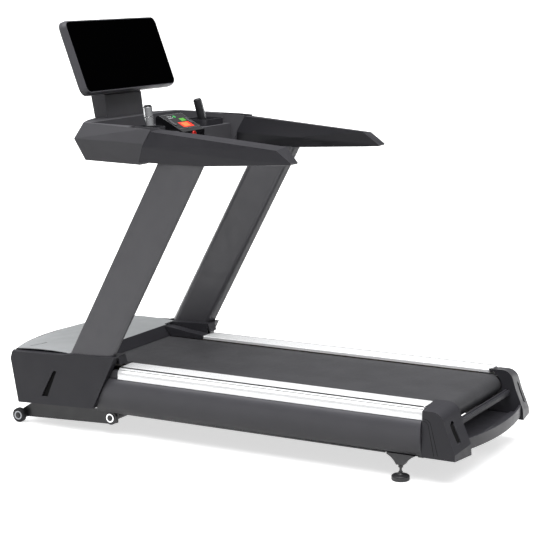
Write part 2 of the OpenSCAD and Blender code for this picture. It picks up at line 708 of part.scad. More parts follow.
// The covers' front is deepest at the nose and draws back above and below it
module cover_bow(off) {
    hull() {
        behind_bow(hood_front_y - off, hood_front_z, hood_front_z + 60);
        behind_bow(nose_y - off, nose_z, nose_z + 1);
        behind_bow(nose_y - 42 - off, floor_z - 20, floor_z);
    }
}
module side_cover_left() { left() side_cover_right(); }
module front_panel() {
    placed() color("#333338") difference() {
        intersection() {
            union() {
                cover_bow(0);
            }
            block([-hood_x, 1990, floor_z], [hood_x, 2200, hood_front_z - 6]);
        }
        cover_bow(4);
        block([inlet_x - 31, 1990, inlet_z - 19], [inlet_x + 31, 2200, inlet_z + 19]);
        block([switch_x - 11, 1990, inlet_z - 15], [switch_x + 11, 2200, inlet_z + 15]);
    }
}
inlet_x = -70;
inlet_z = 160;
inlet_y = 2071;
switch_x = -12;
switch_y = 2056;
switch_throw = 16;
module power_inlet() {
    placed() color("#111111") difference() {
        block([inlet_x - 30, inlet_y - 40, inlet_z - 18], [inlet_x + 30, inlet_y, inlet_z + 18]);
        block([inlet_x - 17, inlet_y - 22, inlet_z - 11], [inlet_x + 17, inlet_y + 1, inlet_z + 11]);
    }
}
module power_switch() {
    placed() color("#b01515") translate([switch_x, switch_y, inlet_z])
        rotate([-switch_throw / 2, 0, 0]) rotate([0, 90, 0]) intersection() {
            cylinder(h = 18, r = 22, center = true, $fn = 64);
            block([-12, -12, -9], [12, 22, 9]);
        }
}

// ---- Uprights and handrails ---------------------------------------------
// The upright's middle line passes y = upright_y at z = upright_z
upright_y = 1560;
upright_z = 360;
upright_foot_z = frame_hi_z + 12;
upright_top_z = 1270;
// Section of an upright as [across, x] points, drawn in by off: a wide bulging outer face,
// rounded corners and sides that slant in to a narrower inner face
upright_bulge = 5;
upright_fore = 6;
function upright_section(off) = let (w = upright_w / 2 - off, v = upright_in_w / 2 - off,
        xi = upright_out_x - upright_t + off, xo = upright_out_x - upright_bulge - off,
        r = w - upright_fore, f = w + upright_fore, kr = (r - v) / (xo - xi),
        kf = (f - v) / (xo - xi))
    concat(
        curve_points([-v + 14, xi], [-v + 6, xi], [-v - 6 * kr, xi + 6], [-v - 14 * kr, xi + 14], 6),
        curve_points([-r + 14 * kr, xo - 14], [-r + 6 * kr, xo - 6], [-r + 9, xo], [-r + 24, xo + 1], 6),
        curve_points([-w * 0.6, xo + 3], [-w / 4, xo + 6], [w / 4, xo + 6], [w * 0.7, xo + 2], 10),
        curve_points([f - 14, xo], [f - 6, xo - 1], [f - 4 * kf, xo - 6], [f - 14 * kf, xo - 14], 6),
        curve_points([v + 14 * kf, xi + 14], [v + 6 * kf, xi + 6], [v - 6, xi], [v - 14, xi], 6));
// A leaning prism of that section, long enough to pass both ends
module leaning(off) {
    translate([0, upright_y, upright_z]) rotate([lean, 0, 0]) translate([0, 0, -260])
        linear_extrude(1500) polygon([for (p = upright_section(off)) [p[1], p[0]]]);
}
// The room that an upright needs in the covers round it
module upright_prism(clear) {
    intersection() {
        leaning(-clear);
        block([300, 700, 200], [500, 2000, upright_top_z + clear]);
    }
}
module upright(wall) {
    intersection() {
        difference() {
            leaning(0);
            leaning(wall);
        }
        block([300, 700, upright_foot_z], [500, 2000, upright_top_z]);
    }
}
module upright_right() {
    placed() color("#5a5a5e") {
        upright(3);
        upright_foot();
    }
}
module upright_left() { left() upright_right(); }
// The foot plate welded under the upright and bolted to the frame tube
module upright_foot() {
    foot_mid_y = upright_y + (upright_z - upright_foot_z) * tan(lean);
    difference() {
        block([frame_in_x + 9, foot_mid_y - 106, frame_hi_z + 0.2],
            [upright_out_x - 9, foot_mid_y + 120, upright_foot_z + 2]);
        for (dy = [-94, 110])
            translate([frame_in_x + 20, foot_mid_y + dy, frame_hi_z - 1])
                cylinder(h = 20, r = 4, $fn = 32);
    }
}
// A handrail's cross-section at one place along it, given as [x, z] points of half of
// the cover: inner top, outer top, outer crease, outer bottom, inner bottom
crease = [[1247, 1360], [1283, 1299], [1304, 1230]];
module rail_slice(y, t, pts) {
    translate([0, y + t / 2, 0]) rotate([90, 0, 0]) linear_extrude(t) polygon(pts);
}
module handrail_solid(off) {
    x1 = 366 + off;
    x2 = arm_out_x - off;
    intersection() {
        hull() {
            rail_slice(1310, 2, [[x1, 1369 - off], [443 - off, 1366 - off], [453 - off, 1297],
                [449.5 - off, 1229 + off], [398 + off, 1229 + off], [x1, 1290]]);
            rail_slice(990, 2, [[x1, 1347 - off], [446 - off, 1340 - off], [x2 - 1, 1276],
                [450 - off, 1229 + off], [398 + off, 1231 + off], [x1, 1280]]);
            rail_slice(645 + off, 2, [[x1, 1320 - off], [x2 - 2, 1312 - off], [x2, 1262 + off],
                [450 - off, 1251 + off], [394 + off, 1251 + off]]);
            rail_slice(578 + off, 2, [[x2, 1264 - off], [x2, 1257 + off], [394 + off, 1256 + off],
                [391 + off, 1262 - off]]);
        }
        side_plate(300, 500, [[500, 1200], [500, 1400], [1228.5, 1400], [crease[0][0] - 0.4,
            crease[0][1]], [crease[1][0] - 0.4, crease[1][1]], [crease[2][0] - 0.4, crease[2][1]],
            [1310, 1200]]);
    }
}
module handrail_right() {
    placed() color("#48484c") difference() {
        handrail_solid(0);
        difference() {
            handrail_solid(5);
            block([300, 1150, 1200], [500, 1160, 1400]);
            block([300, 850, 1200], [500, 856, 1400]);
        }
        upright_prism(0.6);
    }
}
module handrail_left() { left() handrail_right(); }

// ---- Console ------------------------------------------------------------
// Plan outline of the console, drawn in by off at the sides and front
function console_plan(side_x, nose_x, y_rear, y_nose, bulge) = concat(
    [[-side_x, y_rear]], [[-nose_x, y_nose]],
    [for (i = [1:15]) let (x = -nose_x + 2 * nose_x * i / 16)
        [x, y_nose + bulge * (1 - pow(x / nose_x, 2))]],
    [[nose_x, y_nose]], [[side_x, y_rear]]);
module console_solid(off) {
    hull() {
        translate([0, 0, console_top_z - 1 - off]) linear_extrude(1)
            polygon(console_plan(445 - off, 386 - off, 1240, 1625 - off, 110));
        translate([0, 0, 1308]) linear_extrude(2)
            polygon(console_plan(452 - off, 402 - off, 1278, 1663 - off, 100));
        translate([0, 0, 1216 + off]) linear_extrude(1)
            polygon(console_plan(430 - off, 384 - off, 1308, 1618 - off, 90));
    }
}
module crease_cut() {
    side_plate(-500, 500, [[crease[0][0] - 0.2 - 30, 1400], [crease[0][0], crease[0][1]],
        [crease[1][0], crease[1][1]], [crease[2][0], crease[2][1]], [1310, 1200], [1900, 1200],
        [1900, 1400]]);
}
tray_floor_z = 1330;
tray_rear_y = 1318;
tray_front_y = 1600;
wall = 4;
module console_body() {
    placed() color("#6a6a6e") difference() {
        intersection() {
            console_solid(0);
            crease_cut();
            side_plate(-500, 500, [[1200, 1210], [1200, 1364], [1300, 1371], [1560, console_top_z],
                [1800, console_top_z], [1800, 1210]]);
        }
        // Hollow of the shell, round the tray and under it
        difference() {
            console_solid(5);
            block([-366 - wall, 1100, tray_floor_z - wall], [366 + wall, tray_front_y + wall, 1500]);
            block([-366 - wall, 1100, 1100], [366 + wall, tray_rear_y + wall, 1500]);
        }
        // Tray between the side walls, and the runner's space behind it
        block([-366, tray_rear_y, tray_floor_z], [366, tray_front_y, 1500]);
        block([-366, 1100, 1100], [366, tray_rear_y + eps, 1500]);
        for (s = [0, 1]) mirror([s, 0, 0]) upright_prism(0.6);
    }
}
tray_x1 = 160;
tray_x2 = 348;
tray_y1 = 1336;
tray_y2 = 1460;
tray_h = 28;
grip_x = 228;
grip_y = 1381;
grip_r = 19;
module tray_shape(off) {
    translate([(tray_x1 + tray_x2) / 2, (tray_y1 + tray_y2) / 2])
        round_rect(tray_x2 - tray_x1 - 2 * off, tray_y2 - tray_y1 - 2 * off, 28 - off);
}
module console_tray() {
    difference() {
        translate([0, 0, tray_floor_z + 0.2]) linear_extrude(tray_h) tray_shape(0);
        translate([0, 0, tray_floor_z + 10]) linear_extrude(60) tray_shape(5);
        grip_axis(grip_x) cylinder(h = 300, r = grip_r + 0.5, center = true, $fn = 64);
    }
}
module console_trays() {
    placed() color("#39393d") {
        console_tray();
        left() console_tray();
    }
}
// A frame along a pulse grip: forwards and inwards from its foot
module grip_axis(x) {
    translate([x, grip_y, tray_floor_z]) rotate([-12, -8, 0]) children();
}
grip_len = 124;
module pulse_grips() {
    placed() color("#1c1c1e") for (s = [0, 1]) mirror([s, 0, 0]) grip_axis(grip_x) {
        translate([0, 0, 5.5]) cylinder(h = grip_len - 11.5, r = grip_r, $fn = 64);
        translate([0, 0, grip_len - 6 - eps]) cylinder(h = 6, r1 = grip_r, r2 = grip_r - 5, $fn = 64);
    }
}
// Chrome contact plates on the outer, rear side of each grip, one above the other
plate_out = 1.2;
module pulse_plate(z1, z2) {
    difference() {
        translate([0, 0, z1]) cylinder(h = z2 - z1, r = grip_r + plate_out, $fn = 96);
        translate([0, 0, z1 - 1]) cylinder(h = z2 - z1 + 2, r = grip_r + 0.2, $fn = 96);
        rotate([0, 0, -25]) translate([-50, -30, z1 - 1]) cube([54, 60, z2 - z1 + 2]);
    }
}
module pulse_plates() {
    placed() color("#e4e6e8") for (s = [0, 1]) mirror([s, 0, 0]) grip_axis(grip_x) {
        pulse_plate(30, 68);
        pulse_plate(71, 112);
    }
}
panel_lean = atan2(1393 - 1339, 1421 - 1320);
panel_half = 92;
// The sloped face of the control panel: x across, y up the slope, z off the face
module on_panel() { translate([0, 1320, 1339]) rotate([panel_lean, 0, 0]) children(); }
// Middle, half width and half height of each rocker key on the panel's face
rocker_x = 70;
rocker_y = 52;
rocker_w = 8;
rocker_h = 22;
start_x = 0;
start_y = 92;
start_r = 9;
stop_x = 0;
stop_y = 1298;
stop_z = 1312;
stop_r = 14;
key_gap = 0.6;
module control_panel() {
    placed() color("#202024") difference() {
        side_plate(-panel_half, panel_half, [[stop_y, 1292], [stop_y, 1328], [1320, 1339],
            [1421, 1393], [1432, 1393], [1440, 1384], [1440, tray_floor_z + 0.2],
            [tray_rear_y - 0.5, tray_floor_z + 0.2], [tray_rear_y - 0.5, 1292]]);
        on_panel() for (s = [-1, 1])
            translate([s * rocker_x - rocker_w - key_gap, rocker_y - rocker_h - key_gap, -8])
                cube([2 * (rocker_w + key_gap), 2 * (rocker_h + key_gap), 20]);
        on_panel() for (s = [-1, 1]) rocker_pin(s * rocker_x, rocker_w + 3.4, 1.55);
        on_panel() translate([start_x, start_y, -8]) cylinder(h = 20, r = start_r + key_gap, $fn = 64);
        translate([stop_x, stop_y - 1, stop_z]) rotate([-90, 0, 0])
            cylinder(h = 13, r = stop_r + key_gap, $fn = 64);
    }
}
module stop_button() {
    placed() color("#d01818") translate([stop_x, stop_y - 5, stop_z]) rotate([-90, 0, 0])
        cylinder(h = 11, r = stop_r, $fn = 64);
}
module start_button() {
    placed() color("#2f9a3a") on_panel() translate([start_x, start_y, -4])
        cylinder(h = 6, r = start_r, $fn = 64);
}
// The pin that a rocker key turns on, across its middle
module rocker_pin(x, half, r) {
    translate([x, rocker_y, -1]) rotate([0, 90, 0]) cylinder(h = 2 * half, r = r, center = true, $fn = 48);
}
module rocker(x) {
    on_panel() {
        difference() {
            translate([x - rocker_w, rocker_y - rocker_h, -4]) cube([2 * rocker_w, 2 * rocker_h, 7]);
            translate([x, rocker_y, 60 + 1.4]) rotate([0, 90, 0])
                cylinder(h = 40, r = 60, center = true, $fn = 256);
        }
        rocker_pin(x, rocker_w + 3, 1.5);
    }
}
module speed_rocker() { placed() color("#3c3c42") rocker(rocker_x); }
module incline_rocker() { placed() color("#3c3c42") rocker(-rocker_x); }

// ---- Screen -------------------------------------------------------------
screen_y = 1669.5;
screen_z = 1658;
tv_d = 57;
// Depth of the screen's rim behind the glass, where it is widest
screen_rim_d = 36;
// The screen's own frame: x across, y up the glass, z towards the runner
module on_screen() {
    translate([0, screen_y, screen_z]) rotate([90 - screen_lean, 0, 0]) children();
}
hinge_y = 1730;
hinge_z = 1580;
hinge_r = 8;
neck_half = 150;
lug_t = 12;
module hinge_pin(x1, x2, r) { rod_x(x1, x2, hinge_y, hinge_z, r); }
module screen_body() {
    on_screen() difference() {
        hull() {
            translate([0, 0, -4]) linear_extrude(3.5) round_rect(glass_w + 8, glass_h + 8, 30);
            translate([0, 0, -screen_rim_d]) linear_extrude(screen_rim_d - 16)
                round_rect(glass_w + 20, glass_h + 20, 36);
            translate([0, 0, -tv_d]) linear_extrude(3) round_rect(glass_w - 40, glass_h - 40, 36);
        }
        translate([0, 0, -3.5]) linear_extrude(10) round_rect(glass_w + 0.6, glass_h + 0.6, 26);
        translate([0, 0, 6 - tv_d]) linear_extrude(tv_d - 14)
            round_rect(glass_w - 60, glass_h - 60, 20);
    }
}
// A lug on the screen's back that turns on the neck's pin
module screen_lug() {
    x1 = neck_half + 1;
    difference() {
        union() {
            hinge_pin(x1, x1 + lug_t, 15);
            side_plate(x1, x1 + lug_t, [[hinge_y + 3, hinge_z + 14.5], [hinge_y - 6, hinge_z - 13.5],
                [hinge_y - 34, hinge_z - 8], [hinge_y - 22, hinge_z + 24]]);
        }
        hinge_pin(x1 - 1, x1 + lug_t + 1, hinge_r + 0.05);
    }
}
module screen_shell() {
    placed() color("#2c2c30") {
        screen_body();
        screen_lug();
        left() screen_lug();
    }
}
module screen_glass() {
    placed() color("#050506") on_screen() translate([0, 0, -3.2]) linear_extrude(3)
        round_rect(glass_w, glass_h, 25.5);
}
module screen_neck() {
    hinge_arc = [for (a = [200:-20:0]) [hinge_y + 16 * cos(a), hinge_z + 16 * sin(a)]];
    outline = concat([[1655, console_top_z + 0.2], [1668, 1478], [1677, 1486]], hinge_arc,
        [[1742, 1474], [1723, console_top_z + 0.2]]);
    placed() color("#505054") {
        difference() {
            side_plate(-neck_half, neck_half, outline);
            side_plate(-neck_half + wall, neck_half - wall, [[1660, console_top_z - 1],
                [1672, 1476], [1714, 1566], [1738, 1560], [1737, 1474], [1718, console_top_z - 1]]);
        }
        for (s = [0, 1]) mirror([s, 0, 0])
            hinge_pin(neck_half - 1, neck_half + lug_t + 4, hinge_r);
    }
}

frame_tubes();
frame_cross_members();
frame_brackets();
lift_pivot_pins();
motor_pan();
deck_board();
deck_cushions();
running_belt();
front_roller();
rear_roller();
roller_bearings_front();
roller_bearings_rear();
roller_axles();
belt_tension_bolts();
drive_pulley();
drive_motor();
motor_rotor();
drive_belt();
motor_controller();
incline_motor();
incline_screw();
lift_frame();
lift_wheel_axles();
front_wheel_left();
front_wheel_right();
foot_rail_left();
foot_rail_right();
rail_front_blocks();
side_skirt_left();
side_skirt_right();
rear_cap_left();
rear_cap_right();
rear_guard();
roller_guard_bar();
leveling_foot_left();
leveling_foot_right();
foot_lock_nuts();
motor_hood();
hood_rear_trim();
side_cover_left();
side_cover_right();
front_panel();
power_inlet();
power_switch();
upright_left();
upright_right();
handrail_left();
handrail_right();
console_body();
console_trays();
control_panel();
stop_button();
start_button();
speed_rocker();
incline_rocker();
pulse_grips();
pulse_plates();
screen_neck();
screen_shell();
screen_glass();
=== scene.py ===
"""Treadmill: finishes, small surface pieces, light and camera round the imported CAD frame."""
import math

import bmesh
import bpy
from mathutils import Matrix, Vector


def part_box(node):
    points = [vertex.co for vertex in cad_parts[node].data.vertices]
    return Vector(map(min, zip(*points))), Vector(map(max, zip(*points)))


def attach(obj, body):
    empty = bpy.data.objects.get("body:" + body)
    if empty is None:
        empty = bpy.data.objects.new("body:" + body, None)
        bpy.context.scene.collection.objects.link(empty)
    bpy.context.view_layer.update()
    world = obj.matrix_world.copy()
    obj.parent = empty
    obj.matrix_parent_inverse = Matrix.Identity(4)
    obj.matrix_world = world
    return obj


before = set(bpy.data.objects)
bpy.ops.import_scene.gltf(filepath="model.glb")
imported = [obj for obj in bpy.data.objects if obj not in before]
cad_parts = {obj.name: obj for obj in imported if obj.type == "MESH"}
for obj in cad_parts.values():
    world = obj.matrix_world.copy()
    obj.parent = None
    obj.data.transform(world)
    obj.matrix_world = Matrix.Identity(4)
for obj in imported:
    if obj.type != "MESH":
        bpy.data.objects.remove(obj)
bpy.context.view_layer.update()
MM = 0.001
# The frame's middle, as far ahead of the foot rails' rear end
CENTRE_Y = 960 * MM
SIDES = (("left", -1), ("right", 1))


def at(x, y, z):
    """A point given in millimetres, with y counted from the rear end of the foot rails."""
    return Vector((x * MM, y * MM - CENTRE_Y, z * MM))


# ---- Materials --------------------------------------------------------------------------

def new_material(name, colour, rough, metallic=0.0, **inputs):
    """A material with one Principled shader, and its node tree."""
    mat = bpy.data.materials.new(name)
    mat.use_nodes = True
    shader = mat.node_tree.nodes["Principled BSDF"]
    shader.inputs["Base Color"].default_value = (*colour, 1)
    shader.inputs["Roughness"].default_value = rough
    shader.inputs["Metallic"].default_value = metallic
    for key, value in inputs.items():
        shader.inputs[key.replace("_", " ")].default_value = value
    return mat


def add_node(mat, kind, **settings):
    node = mat.node_tree.nodes.new(kind)
    for key, value in settings.items():
        if hasattr(node, key):
            setattr(node, key, value)
        else:
            node.inputs[key.replace("_", " ")].default_value = value
    return node


def link(mat, a, out, b, into):
    mat.node_tree.links.new(a.outputs[out], b.inputs[into])


def noise(mat, scale, detail=2.0, stretch=(1, 1, 1)):
    """Noise in the object's own coordinates, stretched along its axes."""
    where = add_node(mat, "ShaderNodeTexCoord")
    mapping = add_node(mat, "ShaderNodeMapping")
    mapping.inputs["Scale"].default_value = stretch
    texture = add_node(mat, "ShaderNodeTexNoise", Scale=scale, Detail=detail)
    link(mat, where, "Object", mapping, "Vector")
    link(mat, mapping, "Vector", texture, "Vector")
    return texture


def spread(mat, texture, low, high):
    """Maps a texture's middle range to low..high."""
    remap = add_node(mat, "ShaderNodeMapRange")
    remap.inputs["From Min"].default_value = 0.3
    remap.inputs["From Max"].default_value = 0.7
    remap.inputs["To Min"].default_value = low
    remap.inputs["To Max"].default_value = high
    link(mat, texture, "Fac", remap, "Value")
    return remap


def rough_variation(mat, low, high, scale=14, stretch=(1, 1, 1)):
    remap = spread(mat, noise(mat, scale, 3.0, stretch), low, high)
    link(mat, remap, "Result", mat.node_tree.nodes["Principled BSDF"], "Roughness")


def bump(mat, texture, output, strength, distance):
    node = add_node(mat, "ShaderNodeBump")
    node.inputs["Strength"].default_value = strength
    node.inputs["Distance"].default_value = distance
    link(mat, texture, output, node, "Height")
    link(mat, node, "Normal", mat.node_tree.nodes["Principled BSDF"], "Normal")


def colour_variation(mat, colour, amount, scale, stretch=(1, 1, 1)):
    """Fades the base colour a little lighter and darker in soft clouds."""
    remap = spread(mat, noise(mat, scale, 2.0, stretch), 0.0, 1.0)
    mix = add_node(mat, "ShaderNodeMix", data_type="RGBA")
    mix.inputs[6].default_value = (*[c * (1 - amount) for c in colour], 1)
    mix.inputs[7].default_value = (*[min(1, c * (1 + amount)) for c in colour], 1)
    link(mat, remap, "Result", mix, 0)
    mat.node_tree.links.new(mix.outputs[2], mat.node_tree.nodes["Principled BSDF"].inputs["Base Color"])


def moulded(name, colour, rough, grain=900, depth=0.00012, specular=0.18):
    """Injection-moulded plastic with a fine spark-eroded grain."""
    mat = new_material(name, colour, rough, Specular_IOR_Level=specular)
    colour_variation(mat, colour, 0.05, 5)
    rough_variation(mat, rough - 0.05, rough + 0.07)
    bump(mat, noise(mat, grain, 2.0), "Fac", 0.35, depth)
    return mat


def painted(name, colour, rough, coat=0.0):
    """Powder-coated steel with a slight orange peel."""
    mat = new_material(name, colour, rough, Coat_Weight=coat, Coat_Roughness=0.25)
    colour_variation(mat, colour, 0.04, 7)
    rough_variation(mat, rough - 0.06, rough + 0.06, 22)
    bump(mat, noise(mat, 420, 2.0), "Fac", 0.25, 0.00015)
    return mat


def metal(name, colour, rough, stretch=(1, 1, 1), grain=300, metallic=1.0):
    mat = new_material(name, colour, rough, metallic)
    rough_variation(mat, max(0.05, rough - 0.08), rough + 0.1, 60, stretch)
    bump(mat, noise(mat, grain, 2.0, stretch), "Fac", 0.12, 0.00008)
    return mat


def gloss(name, colour, rough=0.06, coat=0.6, specular=0.5):
    mat = new_material(name, colour, rough, Coat_Weight=coat, Coat_Roughness=0.04,
                       Specular_IOR_Level=specular)
    rough_variation(mat, rough, rough + 0.05, 9)
    return mat


def belt_rubber(name):
    """Dull woven PVC with small pebbles on the running face."""
    colour = (0.038, 0.038, 0.041)
    mat = new_material(name, colour, 0.62, Specular_IOR_Level=0.35)
    colour_variation(mat, colour, 0.10, 9)
    rough_variation(mat, 0.56, 0.70, 18)
    cells = add_node(mat, "ShaderNodeTexVoronoi", Scale=420.0)
    where = add_node(mat, "ShaderNodeTexCoord")
    link(mat, where, "Object", cells, "Vector")
    bump(mat, cells, "Distance", 0.5, 0.0004)
    return mat


def rubber(name, colour=(0.022, 0.022, 0.024), rough=0.6):
    mat = new_material(name, colour, rough, Specular_IOR_Level=0.3)
    rough_variation(mat, rough - 0.06, rough + 0.12, 30)
    bump(mat, noise(mat, 700, 3.0), "Fac", 0.4, 0.0002)
    return mat


def deck_wood(name):
    colour = (0.10, 0.075, 0.05)
    mat = new_material(name, colour, 0.5)
    colour_variation(mat, colour, 0.25, 12, (1, 0.05, 1))
    return mat


MATERIALS = {
    "frame_steel": painted("frame_steel", (0.020, 0.020, 0.022), 0.42),
    "bare_steel": metal("bare_steel", (0.55, 0.56, 0.58), 0.30),
    "bright_steel": metal("bright_steel", (0.78, 0.79, 0.80), 0.14),
    "rail_aluminium": metal("rail_aluminium", (0.93, 0.935, 0.94), 0.32, (40, 0.4, 40), metallic=0.35),
    "cast_grey": metal("cast_grey", (0.42, 0.43, 0.45), 0.5),
    "belt_rubber": belt_rubber("belt_rubber"),
    "soft_rubber": rubber("soft_rubber"),
    "grip_rubber": rubber("grip_rubber", (0.016, 0.016, 0.018), 0.5),
    "deck_wood": deck_wood("deck_wood"),
    "grey_plastic": moulded("grey_plastic", (0.072, 0.071, 0.079), 0.40, specular=0.3),
    "mid_plastic": moulded("mid_plastic", (0.082, 0.081, 0.088), 0.42),
    "dark_plastic": moulded("dark_plastic", (0.029, 0.0285, 0.033), 0.40, specular=0.22),
    "silver_plastic": moulded("silver_plastic", (0.30, 0.31, 0.315), 0.36, 1200, 0.00006),
    "upright_paint": painted("upright_paint", (0.062, 0.061, 0.068), 0.36),
    "motor_black": painted("motor_black", (0.018, 0.018, 0.019), 0.45),
    "glass_black": gloss("glass_black", (0.0006, 0.0006, 0.0007), 0.08, 0.0, 0.0),
    "panel_black": gloss("panel_black", (0.006, 0.006, 0.007), 0.14, 0.2, 0.3),
    "red_plastic": gloss("red_plastic", (0.62, 0.018, 0.012), 0.20, 0.4),
    "green_plastic": gloss("green_plastic", (0.03, 0.36, 0.07), 0.20, 0.4),
}
PRINTED_RED = new_material("printed_red", (0.80, 0.030, 0.012), 0.3)
# The orange is a painted highlight lying on the red display zone.
PAINTED_ORANGE_HIGHLIGHT = new_material("painted_orange_highlight", (0.95, 0.20, 0.05), 0.3)
PRINTED_GREEN = new_material("printed_green", (0.08, 0.34, 0.03), 0.3)
PRINTED_WHITE = new_material("printed_white", (0.55, 0.57, 0.58), 0.3)
TRIM = metal("bright_trim", (0.62, 0.63, 0.65), 0.28)
# Near-black painted shade for the vent backs, the rear caps' slots and the rail lines; it also darkens the
# caps' seams.
SHADOW_GAP = new_material("shadow_gap", (0.004, 0.004, 0.004), 0.8, Specular_IOR_Level=0.1)


# ---- Finishing the CAD nodes ------------------------------------------------------------

def smooth_edges(obj, width, segments=2, angle=32, flat=1.0):
    """Joins the faces of a mesh along their seams, clears flat areas and rounds its edges."""
    weld = obj.modifiers.new("weld", "WELD")
    weld.merge_threshold = 0.00002
    if flat:
        clear = obj.modifiers.new("clear", "DECIMATE")
        clear.decimate_type = "DISSOLVE"
        clear.angle_limit = math.radians(flat)
    if width:
        bevel = obj.modifiers.new("bevel", "BEVEL")
        bevel.width = width * MM
        bevel.segments = segments
        bevel.limit_method = "ANGLE"
        bevel.angle_limit = math.radians(angle)
        bevel.use_clamp_overlap = True
    normals = obj.modifiers.new("normals", "WEIGHTED_NORMAL")
    normals.keep_sharp = True
    normals.weight = 60


EDGE_WIDTHS = {
    "motor_hood": 2.2, "side_cover_left": 3.0, "side_cover_right": 3.0,
    "rear_cap_left": 2.5, "rear_cap_right": 2.5, "rear_guard": 1.6, "roller_guard_bar": 1.2,
    "upright_left": 5.0, "upright_right": 5.0, "screen_neck": 3.5, "screen_shell": 2.0,
    "console_body": 2.0, "handrail_left": 2.0, "handrail_right": 2.0, "console_trays": 1.0,
    "foot_rail_left": 0.8, "foot_rail_right": 0.8, "rail_front_blocks": 2.5,
    "screen_glass": 0.8, "control_panel": 1.0, "running_belt": 0.0,
}


def finish_nodes():
    """Gives each CAD node its slot's material and softened edges."""
    for name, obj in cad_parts.items():
        for i, mat_slot in enumerate(obj.material_slots):
            key = mat_slot.material.name.split(".")[0] if mat_slot.material else ""
            if key in MATERIALS:
                obj.material_slots[i].material = MATERIALS[key]
            else:
                print("no finish for", name, key)
        smooth_edges(obj, EDGE_WIDTHS.get(name, 0.6))


# ---- Small surface pieces ---------------------------------------------------------------

def keep(obj, material, body="machine", bevel=0.0):
    """Gives a piece its finish and rides it on a body."""
    obj.data.materials.append(material)
    if bevel:
        mod = obj.modifiers.new("bevel", "BEVEL")
        mod.width = bevel * MM
        mod.segments = 2
        mod.limit_method = "ANGLE"
        normals = obj.modifiers.new("normals", "WEIGHTED_NORMAL")
        normals.keep_sharp = True
    bpy.context.scene.collection.objects.link(obj)
    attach(obj, body)
    return obj


def mesh_object(name, build):
    """Turns a finished bmesh into an object, not yet in the scene."""
    mesh = bpy.data.meshes.new(name)
    build.to_mesh(mesh)
    build.free()
    return bpy.data.objects.new(name, mesh)


def outer_face(node, sign):
    """How far a node's outermost face on one side is from the middle, in millimetres."""
    return abs(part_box(node)[0 if sign < 0 else 1].x) / MM


def prism(name, outline, place, low, high, *finish, **more):
    """An outline of (u, v) points raised from low to high. place maps (u, v, w) to the frame."""
    build = bmesh.new()
    base = [build.verts.new(place(u, v, low)) for u, v in outline]
    top = [build.verts.new(place(u, v, high)) for u, v in outline]
    build.faces.new(base)
    build.faces.new(reversed(top))
    for i in range(len(outline)):
        j = (i + 1) % len(outline)
        build.faces.new((base[j], base[i], top[i], top[j]))
    bmesh.ops.recalc_face_normals(build, faces=build.faces)
    return keep(mesh_object(name, build), *finish, **more)


def rounded(x1, y1, x2, y2, r, steps=5):
    """A rectangle's outline with round corners."""
    points = []
    corners = ((x2 - r, y2 - r, 0), (x1 + r, y2 - r, 90), (x1 + r, y1 + r, 180), (x2 - r, y1 + r, 270))
    for cx, cy, start in corners:
        for i in range(steps + 1):
            a = math.radians(start + 90 * i / steps)
            points.append((cx + r * math.cos(a), cy + r * math.sin(a)))
    return points


def circle_outline(centre, r, steps=48):
    """A circle's outline round a (u, v) centre."""
    turns = [2 * math.pi * i / steps for i in range(steps)]
    return [(centre[0] + r * math.cos(a), centre[1] + r * math.sin(a)) for a in turns]


def tube(name, points, radius, *finish, **more):
    """A thin round strip through points in the frame."""
    data = bpy.data.curves.new(name, "CURVE")
    data.dimensions = "3D"
    data.bevel_depth = radius * MM
    data.bevel_resolution = 3
    data.use_fill_caps = True
    line = data.splines.new("POLY")
    line.points.add(len(points) - 1)
    for p, q in zip(line.points, points):
        p.co = (*q, 1)
    return keep(bpy.data.objects.new(name, data), *finish, **more)


# The control panel's sloped face: x across, v up the slope, w off the face
PANEL_AT = (0, 1320, 1339)
PANEL_LEAN = math.atan2(54, 101)
PANEL_HALF = 92
PANEL_TOP = 114
PANEL_BORDER = 1.6
# A print starts just off the face, so that the two never share a plane
PRINT_LOW = 0.02
PRINT_HIGH = 0.5


def on_panel(u, v, w):
    c, s = math.cos(PANEL_LEAN), math.sin(PANEL_LEAN)
    return at(PANEL_AT[0] + u, PANEL_AT[1] + v * c - w * s, PANEL_AT[2] + v * s + w * c)


def panel_print():
    """Plain coloured zones, an orange painted highlight on the red zone and a bright border, with no
    lettering.
    """
    w, top, edge = PANEL_HALF, PANEL_TOP, PANEL_BORDER
    for name, box in (("near", (-w, 0, -w + edge, top)), ("far", (w - edge, 0, w, top)),
                      ("front", (-w, top - edge, w, top)), ("rear", (-w, 0, w, edge))):
        x1, y1, x2, y2 = box
        corners = [(x1, y1), (x2, y1), (x2, y2), (x1, y2)]
        prism("panel_border_" + name, corners, on_panel, PRINT_LOW, 0.8, TRIM)
    for name, outline, low, high, material in (
            ("red", rounded(-34, 8, 56, 48, 4), PRINT_LOW, PRINT_HIGH, PRINTED_RED),
            ("orange", rounded(-18, 14, 34, 42, 4), PRINT_HIGH, 0.7, PAINTED_ORANGE_HIGHLIGHT),
            ("green", rounded(14, 54, 56, 76, 3), PRINT_LOW, PRINT_HIGH, PRINTED_GREEN)):
        prism("panel_zone_" + name, outline, on_panel, low, high, material)
    for i in range(3):
        x = -52 + 14 * i
        prism(f"panel_mark_{i}", rounded(x, 84, x + 7, 90, 2), on_panel, PRINT_LOW, 0.4, PRINTED_WHITE)
        prism(f"panel_dot_{i}", rounded(x, 98, x + 9, 101, 1.2), on_panel, PRINT_LOW, 0.4, PRINTED_WHITE)


def side_place(sign, x_face):
    """Places an outline of (y, z) points on a side face, w measured inwards from it."""
    return lambda y, z, w: at(sign * (x_face - w), y, z)


